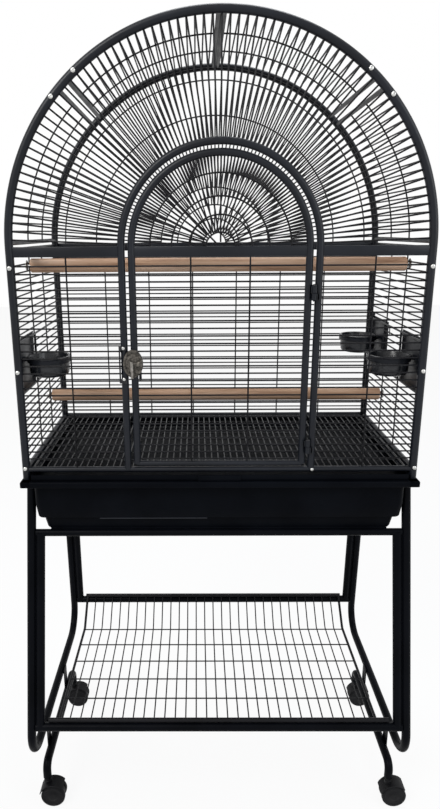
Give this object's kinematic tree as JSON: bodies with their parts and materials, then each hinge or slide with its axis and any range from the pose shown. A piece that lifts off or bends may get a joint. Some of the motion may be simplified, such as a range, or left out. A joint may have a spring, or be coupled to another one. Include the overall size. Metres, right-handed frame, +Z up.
{
  "type": "parrot cage",
  "caption": "Arch-topped wire parrot cage with a swing door, feeder bowls, perches and a pull-out tray, on a castored tube stand with a wire shelf.",
  "frame": {"origin": "on the floor under the middle of the cage", "axes": "+Z up, +X to the right seen from the door, -Y out of the door"},
  "size_m": [0.7723, 0.4734, 1.4979],
  "materials": {
    "black_coat": "black powder coat, satin",
    "pan_black": "black painted sheet, semi-gloss",
    "perch_wood": "plain turned softwood",
    "zinc_steel": "bright zinc-plated",
    "cast_latch": "dull grey casting",
    "bowl_plastic": "moulded, glossy",
    "castor_black": "moulded black"
  },
  "bodies": {
    "cage_and_stand": {"base_pan": "pan_black", "castor_runner_left": "black_coat", "castor_runner_right": "black_coat", "door_hinge_pin_lower": "zinc_steel", "door_hinge_pin_upper": "zinc_steel", "floor_grate": "black_coat", "front_panel": "black_coat", "latch_keeper": "zinc_steel", "panel_bolt_lower_left": "zinc_steel", "panel_bolt_lower_right": "zinc_steel", "panel_bolt_middle_left": "zinc_steel", "panel_bolt_middle_right": "zinc_steel", "panel_bolt_roof_high_left": "zinc_steel", "panel_bolt_roof_high_right": "zinc_steel", "panel_bolt_roof_low_left": "zinc_steel", "panel_bolt_roof_low_right": "zinc_steel", "panel_bolt_upper_left": "zinc_steel", "panel_bolt_upper_right": "zinc_steel", "perch_lower": "perch_wood", "perch_nut_lower_left": "zinc_steel", "perch_nut_lower_right": "zinc_steel", "perch_nut_upper_left": "zinc_steel", "perch_nut_upper_right": "zinc_steel", "perch_upper": "perch_wood", "rear_panel": "black_coat", "roof_panel_left_high": "black_coat", "roof_panel_left_low": "black_coat", "roof_panel_right_high": "black_coat", "roof_panel_right_low": "black_coat", "shelf_basket": "black_coat", "side_panel_left": "black_coat", "side_panel_right": "black_coat", "stand_cross_front": "black_coat", "stand_cross_rear": "black_coat", "stand_side_left": "black_coat", "stand_side_right": "black_coat"},
    "door": {"door": "black_coat", "latch_plate": "cast_latch"},
    "latch": {"latch_lever": "cast_latch"},
    "tray": {"litter_tray": "pan_black"},
    "feeder_front_left": {"feeder_door_front_left": "black_coat"},
    "bowl_front_left": {"feeder_bowl_front_left": "bowl_plastic"},
    "feeder_front_right": {"feeder_door_front_right": "black_coat"},
    "bowl_front_right": {"feeder_bowl_front_right": "bowl_plastic"},
    "feeder_rear_right": {"feeder_door_rear_right": "black_coat"},
    "bowl_rear_right": {"feeder_bowl_rear_right": "bowl_plastic"},
    "castor_front_left": {"castor_fork_front_left": "castor_black"},
    "wheels_front_left": {"castor_wheels_front_left": "castor_black"},
    "castor_rear_left": {"castor_fork_rear_left": "castor_black"},
    "wheels_rear_left": {"castor_wheels_rear_left": "castor_black"},
    "castor_front_right": {"castor_fork_front_right": "castor_black"},
    "wheels_front_right": {"castor_wheels_front_right": "castor_black"},
    "castor_rear_right": {"castor_fork_rear_right": "castor_black"},
    "wheels_rear_right": {"castor_wheels_rear_right": "castor_black"}
  },
  "joints": [
    {"name": "door_hinge", "type": "hinge", "parent": "cage_and_stand", "child": "door", "pos_m": [0.1576, -0.1885, 0.79], "axis": [0, 0, 1], "range_deg": [0, 165]},
    {"name": "latch_turn", "type": "hinge", "parent": "door", "child": "latch", "pos_m": [-0.139, -0.1856, 0.9434], "axis": [0, 1, 0], "range_deg": [0, 90]},
    {"name": "tray_slide", "type": "slide", "parent": "cage_and_stand", "child": "tray", "axis": [0, -1, 0], "range_m": [0, 0.34]},
    {"name": "feeder_front_left_hinge", "type": "hinge", "parent": "cage_and_stand", "child": "feeder_front_left", "pos_m": [-0.3575, -0.16, 0.93], "axis": [0, 0, 1], "range_deg": [0, 100]},
    {"name": "bowl_front_left_lift", "type": "slide", "parent": "feeder_front_left", "child": "bowl_front_left", "axis": [0, 0, 1], "range_m": [0, 0.026]},
    {"name": "castor_front_left_swivel", "type": "hinge", "parent": "cage_and_stand", "child": "castor_front_left", "pos_m": [-0.356, -0.191, 0.06], "axis": [0, 0, 1], "continuous": true},
    {"name": "wheels_front_left_roll", "type": "hinge", "parent": "castor_front_left", "child": "wheels_front_left", "pos_m": [-0.3445, -0.191, 0.025], "axis": [0, 1, 0], "continuous": true},
    {"name": "castor_rear_left_swivel", "type": "hinge", "parent": "cage_and_stand", "child": "castor_rear_left", "pos_m": [-0.356, 0.1, 0.06], "axis": [0, 0, 1], "continuous": true},
    {"name": "wheels_rear_left_roll", "type": "hinge", "parent": "castor_rear_left", "child": "wheels_rear_left", "pos_m": [-0.3445, 0.1, 0.025], "axis": [0, 1, 0], "continuous": true},
    {"name": "feeder_front_right_hinge", "type": "hinge", "parent": "cage_and_stand", "child": "feeder_front_right", "pos_m": [0.3575, -0.16, 0.93], "axis": [0, 0, -1], "range_deg": [0, 100]},
    {"name": "bowl_front_right_lift", "type": "slide", "parent": "feeder_front_right", "child": "bowl_front_right", "axis": [0, 0, 1], "range_m": [0, 0.026]},
    {"name": "castor_front_right_swivel", "type": "hinge", "parent": "cage_and_stand", "child": "castor_front_right", "pos_m": [0.356, -0.191, 0.06], "axis": [0, 0, 1], "continuous": true},
    {"name": "wheels_front_right_roll", "type": "hinge", "parent": "castor_front_right", "child": "wheels_front_right", "pos_m": [0.3675, -0.191, 0.025], "axis": [0, 1, 0], "continuous": true},
    {"name": "feeder_rear_right_hinge", "type": "hinge", "parent": "cage_and_stand", "child": "feeder_rear_right", "pos_m": [0.3575, 0.16, 0.93], "axis": [0, 0, 1], "range_deg": [0, 100]},
    {"name": "bowl_rear_right_lift", "type": "slide", "parent": "feeder_rear_right", "child": "bowl_rear_right", "axis": [0, 0, 1], "range_m": [0, 0.026]},
    {"name": "castor_rear_right_swivel", "type": "hinge", "parent": "cage_and_stand", "child": "castor_rear_right", "pos_m": [0.356, 0.1, 0.06], "axis": [0, 0, 1], "continuous": true},
    {"name": "wheels_rear_right_roll", "type": "hinge", "parent": "castor_rear_right", "child": "wheels_rear_right", "pos_m": [0.3675, 0.1, 0.025], "axis": [0, 1, 0], "continuous": true}
  ]
}
